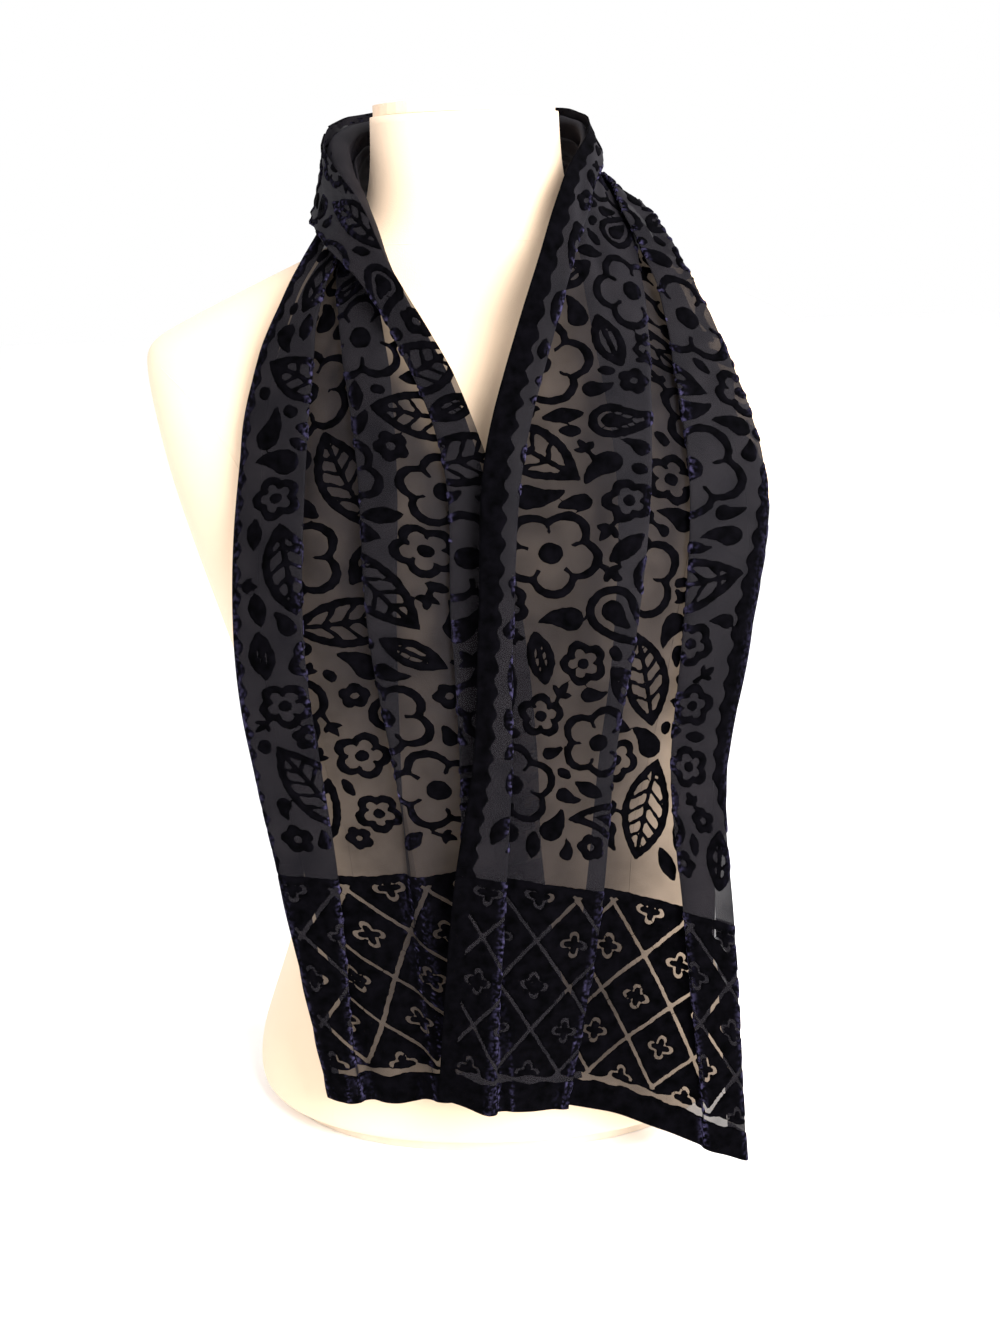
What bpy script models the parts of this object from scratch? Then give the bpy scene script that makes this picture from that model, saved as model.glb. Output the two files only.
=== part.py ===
"""A burnout velvet scarf worn on a limbless dress form.

The scarf is one narrow length of cloth. It hangs from both sides of the neck, crosses the nape, and lies
in flat overlapping pleats that open out towards the two ends. The dress form is a smooth torso with a
short neck, closed by a cap above and a board below, and it stands on that board.

Frame: metres, +Z up, the form faces -Y, and the origin is on the board's underside, midway across it and
4.5 mm behind its middle.
"""

import math

import bpy
import numpy as np

COLLECTION = "burnout_velvet_scarf_on_dress_form"

# Dress form, in metres.
SEAT_GAP = 0.0003  # between pieces that meet
BOARD_HEIGHT = 0.0137
BOARD_INSET = 0.012
CAP_HEIGHT = 0.006
CAP_INSET = 0.002
FORM_SEGMENTS = 40
FORM_STEPS = 2  # rings from one row of the table to the next
CREASE_ANGLE = 50  # in degrees; edges that turn more than this are shown as edges

# Scarf, in metres.
WALL = 0.0014
LAYER_OPEN = 0.0030  # from one layer of cloth to the next, where the scarf hangs
LAYER_GATHERED = 0.0024  # and where it is gathered round the neck
FOLD_REACH = 0.0022  # how far a fold's round edge stands past its panels
FOLD_SPAN = 2.2  # panels shorter than about this many reaches get a smaller round edge
FOLD_POINTS = 2  # points that each round edge adds to the panels' own
STRETCH_GAP = 0.0006  # along the scarf; their tilted ends leave about SEAT_GAP between two stretches
PATH_REACH = 0.004  # each way along the scarf to find which way it runs

# The form's level sections: an oval whose front and back have their own depth.
FORM_COLUMNS = ("name", "height", "half_width", "front", "back", "squareness")
FORM_ROWS = [
    ("rim underside", 0.0140, 0.1600, 0.1040, 0.0950, 2.2),
    ("rim", 0.0200, 0.1650, 0.1090, 0.1000, 2.2),
    ("hip", 0.0450, 0.1625, 0.1085, 0.1020, 2.2),
    ("high hip", 0.0900, 0.1460, 0.1010, 0.0990, 2.2),
    ("waist", 0.1500, 0.1270, 0.0890, 0.0870, 2.2),
    ("over waist", 0.2000, 0.1260, 0.0920, 0.0850, 2.2),
    ("ribs", 0.2500, 0.1360, 0.1050, 0.0890, 2.2),
    ("bust", 0.3100, 0.1530, 0.1210, 0.0970, 2.3),
    ("over bust", 0.3500, 0.1640, 0.1200, 0.1020, 2.3),
    ("chest", 0.3900, 0.1750, 0.1100, 0.1050, 2.4),
    ("underarm", 0.4300, 0.1850, 0.0960, 0.1060, 2.5),
    ("high chest", 0.4650, 0.1910, 0.0820, 0.1030, 2.6),
    ("shoulder end", 0.4900, 0.1940, 0.0700, 0.0960, 2.6),
    ("shoulder tip", 0.5060, 0.1925, 0.0600, 0.0860, 2.5),
    ("shoulder edge", 0.5170, 0.1760, 0.0540, 0.0780, 2.2),
    ("shoulder slope", 0.5320, 0.1430, 0.0520, 0.0720, 2.1),
    ("shoulder root", 0.5460, 0.1110, 0.0530, 0.0690, 2.1),
    ("neck root", 0.5590, 0.0820, 0.0550, 0.0660, 2.0),
    ("neckline", 0.5720, 0.0640, 0.0540, 0.0610, 2.0),
    ("neck", 0.5950, 0.0560, 0.0520, 0.0560, 2.0),
    ("neck top", 0.6280, 0.0540, 0.0500, 0.0530, 2.0),
]

# Where the cloth lies, from the left end over the nape to the right end. Each row is one line straight
# across the scarf, from the edge beside the neck to the edge away from it, at the layer that is nearest
# the form. "along" is the distance from the left end, "bow" is how far the line bulges off the form, and
# "drop" is how far its middle hangs below its ends.
STATION_COLUMNS = ("name", "along", "in_x", "in_y", "in_z", "out_x", "out_y", "out_z", "bow", "drop")
STATIONS = [
    ("left end", 0.000, 0.050, -0.125, 0.080, -0.104, -0.128, 0.070, 0.002, 0.008),
    ("left border", 0.151, 0.030, -0.131, 0.228, -0.122, -0.122, 0.220, 0.004, 0.006),
    ("left waist", 0.219, 0.029, -0.131, 0.294, -0.131, -0.115, 0.286, 0.007, 0.004),
    ("left bust", 0.290, 0.024, -0.130, 0.364, -0.135, -0.108, 0.352, 0.012, 0.0),
    ("left chest", 0.373, 0.011, -0.119, 0.443, -0.129, -0.083, 0.430, 0.010, 0.0),
    ("left collar", 0.431, -0.008, -0.100, 0.494, -0.118, -0.068, 0.486, 0.007, 0.0),
    ("left shoulder", 0.487, -0.032, -0.075, 0.540, -0.095, -0.048, 0.530, 0.004, 0.0),
    ("left neck front", 0.532, -0.045, -0.050, 0.577, -0.073, -0.028, 0.560, 0.0, 0.0),
    ("left neck side", 0.580, -0.0590, -0.008, 0.613, -0.0680, 0.008, 0.574, 0.0, 0.0),
    ("left nape", 0.642, -0.042, 0.044, 0.628, -0.050, 0.056, 0.582, 0.0, 0.0),
    ("nape", 0.700, 0.000, 0.0615, 0.630, 0.002, 0.074, 0.584, 0.0, 0.0),
    ("right nape", 0.757, 0.042, 0.044, 0.628, 0.054, 0.058, 0.580, 0.0, 0.0),
    ("right neck side", 0.819, 0.0590, -0.008, 0.613, 0.0830, 0.010, 0.570, 0.0, 0.0),
    ("right neck front", 0.863, 0.045, -0.053, 0.584, 0.100, -0.018, 0.558, 0.0, 0.0),
    ("right shoulder", 0.907, 0.033, -0.077, 0.549, 0.117, -0.042, 0.530, 0.004, 0.0),
    ("right collar", 0.964, 0.017, -0.101, 0.500, 0.143, -0.060, 0.480, 0.008, 0.0),
    ("right chest", 1.022, 0.003, -0.1247, 0.452, 0.158, -0.080, 0.426, 0.012, 0.0),
    ("right bust", 1.113, -0.003, -0.1445, 0.368, 0.148, -0.112, 0.345, 0.012, 0.002),
    ("right waist", 1.188, -0.008, -0.1455, 0.294, 0.134, -0.122, 0.268, 0.008, -0.002),
    ("right border", 1.263, -0.020, -0.1455, 0.226, 0.138, -0.128, 0.182, 0.004, -0.006),
    ("right end", 1.414, -0.036, -0.1455, 0.080, 0.148, -0.134, 0.026, 0.002, -0.008),
]

# The folds, in order across the cloth: how far across the visible width each one lies at some of the
# stations, 0 at the edge beside the neck and 1 at the edge away from it.
FOLD_COLUMNS = ("name", "left end", "left border", "left bust", "left collar", "left shoulder",
                "left neck front", "nape", "right neck front", "right shoulder", "right collar",
                "right bust", "right border", "right end")
FOLDS = [
    ("inner edge", 0.00, 0.00, 0.00, 0.00, 0.00, 0.00, 0.00, 0.00, 0.00, 0.00, 0.00, 0.00, 0.00),
    ("inner pleat front", 0.38, 0.30, 0.24, 0.20, 0.34, 0.95, 0.54, 0.32, 0.22, 0.16, 0.12, 0.18, 0.17),
    ("inner pleat back", 0.05, 0.05, 0.05, 0.03, 0.03, 0.03, 0.03, 0.03, 0.04, 0.03, 0.04, 0.13, 0.19),
    ("middle pleat front", 0.56, 0.49, 0.52, 0.52, 0.60, 0.80, 0.80, 0.80, 0.70, 0.60, 0.54, 0.53, 0.42),
    ("middle pleat back", 0.59, 0.51, 0.42, 0.30, 0.26, 0.24, 0.22, 0.24, 0.30, 0.38, 0.46, 0.46, 0.36),
    ("outer pleat back", 0.84, 0.91, 0.94, 0.94, 0.95, 0.96, 0.97, 0.97, 0.97, 0.97, 0.96, 0.94, 0.84),
    ("outer pleat front", 0.88, 0.76, 0.74, 0.68, 0.65, 0.45, 0.55, 0.66, 0.74, 0.70, 0.71, 0.80, 0.86),
    ("outer turn", 1.00, 1.00, 1.00, 1.00, 1.00, 0.98, 0.97, 0.97, 1.00, 1.00, 0.97, 1.00, 1.00),
    ("outer edge", 0.94, 0.90, 0.90, 0.90, 0.90, 0.87, 0.87, 0.88, 0.86, 0.87, 0.94, 0.93, 0.94),
]
# The layers, counted up from the form, in which the cloth arrives at each fold and leaves it: where it
# hangs open, and gathered at the left and at the right of the neck.
LAYER_COLUMNS = ("name", "open_in", "open_out", "left_in", "left_out", "right_in", "right_out")
LAYERS = [
    ("inner edge", 2, 2, 8.6, 8.6, 5, 5),
    ("inner pleat front", 2, 1.15, 8.6, 7.6, 5, 4),
    ("inner pleat back", 0.85, 0, 7.6, 2, 4, 2),
    ("middle pleat front", 2, 1.15, 2, 1, 2, 1),
    ("middle pleat back", 0.85, 0, 1, 0, 1, 0),
    ("outer pleat back", 0, 0.85, 0, 3, 0, 3),
    ("outer pleat front", 1.15, 2, 3, 4, 3, 4),
    ("outer turn", 4, 3, 6.4, 5.2, 6.4, 5.2),
    ("outer edge", 2.4, 2.4, 4.1, 4.1, 4.1, 4.1),
]
# How far each fold stands forward at the scarf's two hems, where the pleats open into soft waves.
FLUTE_COLUMNS = ("name", "left end", "right end")
FLUTES = [
    ("inner edge", 0.000, -0.002),
    ("inner pleat front", 0.000, 0.012),
    ("inner pleat back", 0.000, 0.010),
    ("middle pleat front", 0.000, -0.005),
    ("middle pleat back", 0.000, -0.005),
    ("outer pleat back", -0.002, 0.006),
    ("outer pleat front", -0.001, 0.007),
    ("outer turn", -0.009, 0.001),
    ("outer edge", -0.009, 0.001),
]
FLUTE_LENGTH = 0.30  # how far up the scarf the waves run
FLUTE_FADE = 1.5  # how quickly they die away above the hem
HEM_REACH = 0.0024  # how much rounder the folds are at the hems
# The panels between the folds: how many steps each takes, and how far its middle swells forward at the
# left hem and at the right hem. A panel that climbs does so only between the pleat that covers it and the
# pleat that it covers.
PANELS = [
    ("inner panel", 2, "even", 0.000, 0.000),
    ("inner tuck", 2, "even", 0.000, 0.000),
    ("middle panel", 4, "climbs", 0.000, 0.000),
    ("middle tuck", 2, "even", 0.000, 0.000),
    ("outer panel", 4, "even", 0.004, -0.005),
    ("outer tuck", 2, "even", 0.000, 0.000),
    ("outer face", 3, "even", 0.000, 0.000),
    ("outer hem", 1, "even", 0.000, 0.000),
]
CLIMB = 0.08  # the least share of the width that a climb takes
CLIMB_SHY = 2.3  # how many of a round edge's reaches a climb keeps clear of it
# Hanging open up to here, gathered from here to there, and open again.
GATHERS = (
    "left collar", "left shoulder", "left neck side",
    "right neck side", "right shoulder", "right collar",
)

# The stretches of the scarf that show, each through these stations with so many steps between them.
STRETCHES = [
    ("scarf_left_fall", ("left end", "left chest", "left shoulder", "left neck side"), (9, 6, 6)),
    ("scarf_nape", ("left neck side", "nape", "right neck side"), (6, 6)),
    ("scarf_right_fall", ("right neck side", "right shoulder", "right chest", "right end"), (6, 6, 10)),
]


def column(columns, rows, name):
    """One named column of a table, as an array."""
    return np.array([row[columns.index(name)] for row in rows], dtype=float)


def smooth_curve(places, values, wanted):
    """Values read at the wanted places from a smooth curve through all the rows of a table."""
    places = np.asarray(places, float)
    values = np.asarray(values, float)
    slopes = np.gradient(values, places, axis=0)
    span = np.clip(np.searchsorted(places, wanted, side="right") - 1, 0, len(places) - 2)
    step = places[span + 1] - places[span]
    t = (wanted - places[span]) / step
    shape = (-1,) + (1,) * (values.ndim - 1)
    t, step = t.reshape(shape), step.reshape(shape)
    return (
        values[span] * (2 * t**3 - 3 * t**2 + 1)
        + slopes[span] * step * (t**3 - 2 * t**2 + t)
        + values[span + 1] * (3 * t**2 - 2 * t**3)
        + slopes[span + 1] * step * (t**3 - t**2)
    )


def hump(share):
    """A round hump over the shares from 0 to 1: 0 at both ends and 1 midway."""
    return 4 * share * (1 - share)


def add_material(name, colour, roughness, metallic=0.0):
    """A plain Principled material."""
    material = bpy.data.materials.new(name)
    material.use_nodes = True
    shader = material.node_tree.nodes["Principled BSDF"]
    shader.inputs["Base Color"].default_value = (*colour, 1.0)
    shader.inputs["Roughness"].default_value = roughness
    shader.inputs["Metallic"].default_value = metallic
    material.diffuse_color = (*colour, 1.0)
    return material


def add_mesh(name, points, faces, material, collection):
    """A new object from points and faces, in the part's collection."""
    mesh = bpy.data.meshes.new(name)
    mesh.from_pydata([tuple(p) for p in points], [], faces)
    mesh.materials.append(material)
    mesh.shade_smooth()
    mesh.set_sharp_from_angle(angle=math.radians(CREASE_ANGLE))
    mesh.update()
    piece = bpy.data.objects.new(name, mesh)
    collection.objects.link(piece)
    return piece


# ---------------------------------------------------------------- dress form


def oval(half_width, front, back, squareness, height, segments=FORM_SEGMENTS):
    """One level ring of the form, counter-clockwise from above."""
    ring = []
    for index in range(segments):
        angle = 2 * math.pi * index / segments
        cosine, sine = math.cos(angle), math.sin(angle)
        x = half_width * math.copysign(abs(cosine) ** (2 / squareness), cosine)
        depth = back if sine > 0 else front
        y = depth * math.copysign(abs(sine) ** (2 / squareness), sine)
        ring.append((x, y, height))
    return ring


def loft(rings):
    """Points and faces of a closed solid through rings of equal length, with flat ends."""
    count = len(rings[0])
    points = [point for ring in rings for point in ring]
    faces = [tuple(reversed(range(count)))]
    for level in range(len(rings) - 1):
        for index in range(count):
            after = (index + 1) % count
            low, high = level * count, (level + 1) * count
            faces.append((low + index, low + after, high + after, high + index))
    faces.append(tuple(range((len(rings) - 1) * count, len(rings) * count)))
    return points, faces


def form_rings():
    """The torso's rings, read from a smooth curve through the table's rows."""
    rows = np.arange(len(FORM_ROWS), dtype=float)
    wanted = np.linspace(0, len(FORM_ROWS) - 1, (len(FORM_ROWS) - 1) * FORM_STEPS + 1)
    sizes = {
        name: smooth_curve(rows, column(FORM_COLUMNS, FORM_ROWS, name), wanted)
        for name in FORM_COLUMNS[1:]
    }
    return [
        oval(
            sizes["half_width"][i],
            sizes["front"][i],
            sizes["back"][i],
            sizes["squareness"][i],
            sizes["height"][i],
        )
        for i in range(len(wanted))
    ]


def make_torso(material, collection):
    """The padded torso with its neck, from the rim to the flat top of the neck."""
    points, faces = loft(form_rings())
    return add_mesh("form_torso", points, faces, material, collection)


def make_plate(name, section, inset, low, high, material, collection):
    """A flat oval plate, set in from one of the form's sections."""
    _, _, half_width, front, back, squareness = section
    rings = [
        oval(half_width - inset, front - inset, back - inset, squareness, height)
        for height in (low, high)
    ]
    points, faces = loft(rings)
    return add_mesh(name, points, faces, material, collection)


# --------------------------------------------------------------------- scarf


def along_of(name):
    """A station's distance along the scarf."""
    return next(row[1] for row in STATIONS if row[0] == name)


def gathering(along):
    """How far the cloth is gathered as at the left and at the right of the neck: two shares."""
    places = [along_of(name) for name in GATHERS]
    left = np.interp(along, places, [0, 1, 1, 0, 0, 0])
    right = np.interp(along, places, [0, 0, 0, 1, 1, 0])
    return left, right


def flare_at(along):
    """How far the waves of the left hem and of the right hem are open at a distance along: two shares."""
    length = STATIONS[-1][1]
    return np.array([max(0.0, 1 - reach / FLUTE_LENGTH) ** FLUTE_FADE for reach in (along, length - along)])


def folds_at(along):
    """Each fold at a distance along the scarf: how far across, and the heights it joins."""
    places = np.array([along_of(name) for name in FOLD_COLUMNS[1:]])
    left, right = gathering(along)
    layer = LAYER_OPEN + (LAYER_GATHERED - LAYER_OPEN) * (left + right)
    weights = np.array([1 - left - right, left, right])
    flare = flare_at(along)
    folds = []
    for row, levels, flute in zip(FOLDS, LAYERS, FLUTES):
        across = smooth_curve(places, row[1:], np.array([along]))[0]
        stands = np.dot(flare, flute[1:])
        arrives = np.dot(weights, levels[1::2]) * layer + stands
        leaves = np.dot(weights, levels[2::2]) * layer + stands
        folds.append((across, arrives, leaves))
    return folds


def panel_steps(folds, index, shy):
    """The across values and the rises, from 0 to 1, of one panel's points after its first.

    A climb keeps clear of the round edges at both of its ends, whose share of the width is "shy".
    """
    steps, rise = PANELS[index][1:3]
    start, end = folds[index][0], folds[index + 1][0]
    if rise == "even":
        shares = np.arange(1, steps + 1) / steps
        return start + (end - start) * shares, shares
    high = min(folds[index + 2][0], end - CLIMB_SHY * shy)
    low = min(max(folds[index - 1][0], start + CLIMB_SHY * shy), high - CLIMB)
    return np.array([low, high, (high + end) / 2, end]), np.array([0.0, 1.0, 1.0, 1.0])


def section_points(along, width):
    """The cloth's middle line across the scarf, as (distance across, height off the form) pairs.

    Panels run straight from fold to fold. A fold is a round edge that joins the layer that arrives there
    to the one that leaves.
    """
    folds = folds_at(along)
    flare = flare_at(along)
    reach = FOLD_REACH + HEM_REACH * flare.sum()
    line = [(folds[0][0] * width, folds[0][2])]
    for index in range(len(PANELS)):
        fold_x, arrives, leaves = folds[index + 1]
        start_h = folds[index][2]
        across, rises = panel_steps(folds, index, reach / width)
        swell = np.dot(flare, PANELS[index][3:])
        for place, rise in zip(across, rises):
            line.append((place * width, start_h + (arrives - start_h) * rise + swell * hump(rise) ** 2))
        if index == len(PANELS) - 1:
            break
        way = math.tanh((fold_x - folds[index][0]) * width / (FOLD_SPAN * reach))
        next_way = math.tanh((folds[index + 2][0] - fold_x) * width / (FOLD_SPAN * reach))
        line[-1] = (line[-1][0] - reach * way, line[-1][1])
        line.append((fold_x * width, (arrives + leaves) / 2))
        line.append((fold_x * width + reach * next_way, leaves))
    return np.array(line)


def edge_lines(along):
    """The scarf's two edges at some distances along it, and its bow and drop there."""
    places = column(STATION_COLUMNS, STATIONS, "along")
    inner = np.stack([column(STATION_COLUMNS, STATIONS, f"in_{axis}") for axis in "xyz"], axis=1)
    outer = np.stack([column(STATION_COLUMNS, STATIONS, f"out_{axis}") for axis in "xyz"], axis=1)
    bow = column(STATION_COLUMNS, STATIONS, "bow")
    drop = column(STATION_COLUMNS, STATIONS, "drop")
    return tuple(smooth_curve(places, values, along) for values in (inner, outer, bow, drop))


def scarf_rows(along):
    """The points of the scarf's middle surface, a row for each distance along it."""
    along = np.asarray(along, float)
    inner, outer, bow, drop = edge_lines(along)
    ahead = edge_lines(np.minimum(along + PATH_REACH, STATIONS[-1][1]))
    behind = edge_lines(np.maximum(along - PATH_REACH, STATIONS[0][1]))
    path = (ahead[0] + ahead[1] - behind[0] - behind[1]) / 2
    rows = []
    for i, place in enumerate(along):
        across = outer[i] - inner[i]
        width = np.linalg.norm(across)
        away = np.cross(path[i], across)
        away /= np.linalg.norm(away)
        line = section_points(place, width)
        share = line[:, 0] / width
        off = line[:, 1] + bow[i] * hump(share)
        points = inner[i] + share[:, None] * across + off[:, None] * away
        points[:, 2] -= drop[i] * hump(share)
        rows.append(points)
    return np.array(rows)


def turned_steps():
    """For each step across the cloth, whether its panel runs back towards the neck.

    Panels that lie on each other are split along the same diagonals, so that they stay clear.
    """
    turned = []
    for index, panel in enumerate(PANELS):
        turned += [index % 2 == 1] * (panel[1] + FOLD_POINTS)
    return turned[:-FOLD_POINTS]


def make_stretch(name, stations, steps, material, collection):
    """One stretch of the scarf: an open pleated surface that Solidify makes a wall."""
    ends = [along_of(station) for station in stations]
    ends[0] += STRETCH_GAP / 2 if ends[0] > 0 else 0
    ends[-1] -= STRETCH_GAP / 2 if ends[-1] < STATIONS[-1][1] else 0
    places = np.interp(np.arange(sum(steps) + 1), np.cumsum((0,) + steps), ends)
    rows = scarf_rows(places)
    count = rows.shape[1]
    faces = []
    for i in range(len(rows) - 1):
        for j, turned in enumerate(turned_steps()):
            low, high = i * count + j, (i + 1) * count + j
            if turned:
                faces += [(low, high, low + 1), (low + 1, high, high + 1)]
            else:
                faces += [(low, high, high + 1), (low, high + 1, low + 1)]
    piece = add_mesh(name, rows.reshape(-1, 3), faces, material, collection)
    wall = piece.modifiers.new("cloth wall", "SOLIDIFY")
    wall.thickness = WALL
    wall.offset = 0.0
    return piece


def main():
    for old in list(bpy.data.objects):
        bpy.data.objects.remove(old, do_unlink=True)
    collection = bpy.data.collections.new(COLLECTION)
    bpy.context.scene.collection.children.link(collection)

    jersey = add_material("cream_jersey", (0.85, 0.64, 0.46), 0.75)
    board = add_material("base_board", (0.75, 0.63, 0.50), 0.60)
    velvet = add_material("burnout_velvet", (0.012, 0.011, 0.020), 0.85)

    make_torso(jersey, collection)
    make_plate(
        "form_neck_cap", FORM_ROWS[-1], CAP_INSET,
        FORM_ROWS[-1][1] + SEAT_GAP, FORM_ROWS[-1][1] + SEAT_GAP + CAP_HEIGHT, jersey, collection,
    )
    make_plate("form_base_board", FORM_ROWS[0], BOARD_INSET, 0.0, BOARD_HEIGHT, board, collection)
    for stretch in STRETCHES:
        make_stretch(*stretch, velvet, collection)


main()
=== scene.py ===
# %% [markdown]
# # A burnout velvet scarf on a dress form
#
# Burnout velvet, or devore, is woven with two yarns: a fine sheer ground and a thick dark pile. A paste
# burns the pile away in places, and the ground is left there like tinted glass. This scarf hangs from
# the neck of a cream dress form in flat pleats, so the look has two parts: how many sheer layers lie
# over each other, and how the pile stands up and catches light along its folds.
#
# The form could be made again here, but its solid is already right and only needs a finish. The scarf
# is made again in full, because its solid is a plain wall with neither sheer ground nor pile.

import math

import bpy
import numpy as np
from mathutils import Matrix, Vector
from mathutils.bvhtree import BVHTree


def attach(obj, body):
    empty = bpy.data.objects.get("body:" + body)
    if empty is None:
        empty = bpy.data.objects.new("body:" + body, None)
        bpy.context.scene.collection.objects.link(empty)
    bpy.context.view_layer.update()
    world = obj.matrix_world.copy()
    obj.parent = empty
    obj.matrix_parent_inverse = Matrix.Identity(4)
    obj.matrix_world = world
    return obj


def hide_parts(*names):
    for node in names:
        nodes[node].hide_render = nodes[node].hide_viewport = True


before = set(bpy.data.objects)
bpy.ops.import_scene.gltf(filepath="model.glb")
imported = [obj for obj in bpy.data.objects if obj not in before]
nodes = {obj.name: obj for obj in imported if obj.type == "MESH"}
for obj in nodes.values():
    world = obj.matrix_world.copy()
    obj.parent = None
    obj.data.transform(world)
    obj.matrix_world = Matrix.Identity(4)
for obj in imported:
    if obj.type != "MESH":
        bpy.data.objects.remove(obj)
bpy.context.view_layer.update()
print("loaded", sorted(nodes))

# %% [markdown]
# The camera stands close in front of the chest, a little above it, and looks down by 18 degrees. It is
# also rolled by 2 degrees, as a camera held by hand is. The lens is a little wider than normal.

# %% The camera
TILT = math.radians(18.0)
ROLL = math.radians(2.0)
EYE = Vector((0.0095, -0.8835, 0.584))
LENS = 39.16

ahead = Vector((0, math.cos(TILT), -math.sin(TILT)))
level_up = Vector((0, math.sin(TILT), math.cos(TILT)))
right = math.cos(ROLL) * Vector((1, 0, 0)) - math.sin(ROLL) * level_up
up = math.sin(ROLL) * Vector((1, 0, 0)) + math.cos(ROLL) * level_up
camera = bpy.data.objects.new("camera", bpy.data.cameras.new("camera"))
camera.data.lens = LENS
camera.matrix_world = Matrix.Translation(EYE) @ Matrix((right, up, -ahead)).transposed().to_4x4()
bpy.context.scene.collection.objects.link(camera)
bpy.context.scene.camera = camera
print("camera at", [round(v, 3) for v in EYE])

# %% [markdown]
# A studio for cloth this dark needs a bright room. A white world and a white floor light the form from
# all round, and a large soft lamp at the front right brightens the chest. Two smaller lamps, one on each
# side and a little behind, graze the folds and light the tips of the pile.

# %% The floor and the room
FLOOR_SIZE, FLOOR_GAP = 12, 0.0005  # its side, and how far it lies under the board
FLOOR_TONE = 0.99  # nearly as white as the room, so that no line shows where the floor ends

bpy.ops.object.select_all(action="DESELECT")
bpy.ops.mesh.primitive_plane_add(size=FLOOR_SIZE, location=(0, 0, -FLOOR_GAP))
floor = bpy.context.object
floor.name = "floor"
floor_finish = bpy.data.materials.new("white floor")
floor_finish.use_nodes = True
floor_shader = floor_finish.node_tree.nodes["Principled BSDF"]
floor_shader.inputs["Base Color"].default_value = (FLOOR_TONE, FLOOR_TONE, FLOOR_TONE, 1)
floor_shader.inputs["Roughness"].default_value = 0.9
floor.data.materials.append(floor_finish)

world = bpy.data.worlds.new("white room")
world.use_nodes = True
backdrop = world.node_tree.nodes["Background"]
backdrop.inputs["Color"].default_value = (1, 1, 1, 1)
backdrop.inputs["Strength"].default_value = 1.0
bpy.context.scene.world = world
bpy.context.scene.view_settings.view_transform = "Standard"
print("floor", FLOOR_SIZE, "m across")

# %% The lamps
LAMPS = [
    # name, place, aimed at, size, watts, colour
    ("front right", (0.75, -1.35, 1.15), (0.03, 0, 0.38), 0.8, 60, (1.0, 1.0, 0.99)),
    ("grazing left", (-0.9, 0.45, 0.9), (-0.05, 0, 0.4), 0.35, 2, (0.92, 0.93, 1.0)),
    ("grazing right", (1.0, 0.15, 0.8), (0.05, -0.1, 0.35), 0.35, 9, (0.92, 0.93, 1.0)),
]
for name, place, aim, size, watts, colour in LAMPS:
    lamp = bpy.data.lights.new(name, "AREA")
    lamp.size = size
    lamp.energy = watts
    lamp.color = colour
    holder = bpy.data.objects.new(name, lamp)
    holder.location = place
    holder.rotation_euler = (Vector(aim) - Vector(place)).to_track_quat("-Z", "Y").to_euler()
    bpy.context.scene.collection.objects.link(holder)
print("lamps", len(LAMPS))

# %% [markdown]
# Fine cloth shows a grain of threads or loops that nobody would model one by one. Fine noise gives its
# height and a broad noise gives patches of slightly different tone, in one group that every cloth here
# uses with its own scales.

# %% A group for fine cloth grain
def new_group(name, inputs, outputs):
    """An empty shader group with named sockets."""
    group = bpy.data.node_groups.new(name, "ShaderNodeTree")
    for socket, kind, value in inputs:
        made = group.interface.new_socket(socket, in_out="INPUT", socket_type=kind)
        if value is not None:
            made.default_value = value
    for socket, kind in outputs:
        group.interface.new_socket(socket, in_out="OUTPUT", socket_type=kind)
    return group, group.nodes.new("NodeGroupInput"), group.nodes.new("NodeGroupOutput")


grain, grain_in, grain_out = new_group(
    "cloth grain",
    [("Loops", "NodeSocketFloat", 900.0), ("Patch", "NodeSocketFloat", 14.0)],
    [("Height", "NodeSocketFloat"), ("Blotch", "NodeSocketFloat")],
)
place = grain.nodes.new("ShaderNodeTexCoord")
for scale, detail, result in (("Loops", 2.0, "Height"), ("Patch", 4.0, "Blotch")):
    noise = grain.nodes.new("ShaderNodeTexNoise")
    noise.inputs["Detail"].default_value = detail
    grain.links.new(place.outputs["Object"], noise.inputs["Vector"])
    grain.links.new(grain_in.outputs[scale], noise.inputs["Scale"])
    grain.links.new(noise.outputs["Fac"], grain_out.inputs[result])
print("group", grain.name)

# %% [markdown]
# Every finish here is a tone that drifts between two colours, with a soft bump from the grain and a
# sheen, so one helper makes them all.

# %% A helper for cloth finishes
DARK_PATCH, LIGHT_PATCH = 0.3, 0.7  # where in the patches the darker tone ends and the lighter one starts


def cloth_finish(
    name, dark, light, roughness, loops, patch, bump, shine=0.3, sheen=0.0, tint=(1, 1, 1), fuzz=0.5
):
    """A cloth whose colour drifts between two tones, with a fine bump from the grain group."""
    finish = bpy.data.materials.new(name)
    finish.use_nodes = True
    tree = finish.node_tree
    shader = tree.nodes["Principled BSDF"]
    for socket, value in (
        ("Roughness", roughness), ("Specular IOR Level", shine), ("Sheen Weight", sheen),
        ("Sheen Tint", (*tint, 1)), ("Sheen Roughness", fuzz),
    ):
        shader.inputs[socket].default_value = value
    group = tree.nodes.new("ShaderNodeGroup")
    group.node_tree = grain
    group.inputs["Loops"].default_value = loops
    group.inputs["Patch"].default_value = patch
    tones = tree.nodes.new("ShaderNodeValToRGB")
    for stop, position, tone in zip(tones.color_ramp.elements, (DARK_PATCH, LIGHT_PATCH), (dark, light)):
        stop.position = position
        stop.color = (*tone, 1)
    relief = tree.nodes.new("ShaderNodeBump")
    relief.inputs["Distance"].default_value = bump
    tree.links.new(group.outputs["Blotch"], tones.inputs["Fac"])
    tree.links.new(tones.outputs["Color"], shader.inputs["Base Color"])
    tree.links.new(group.outputs["Height"], relief.inputs["Height"])
    tree.links.new(relief.outputs["Normal"], shader.inputs["Normal"])
    return finish


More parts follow.
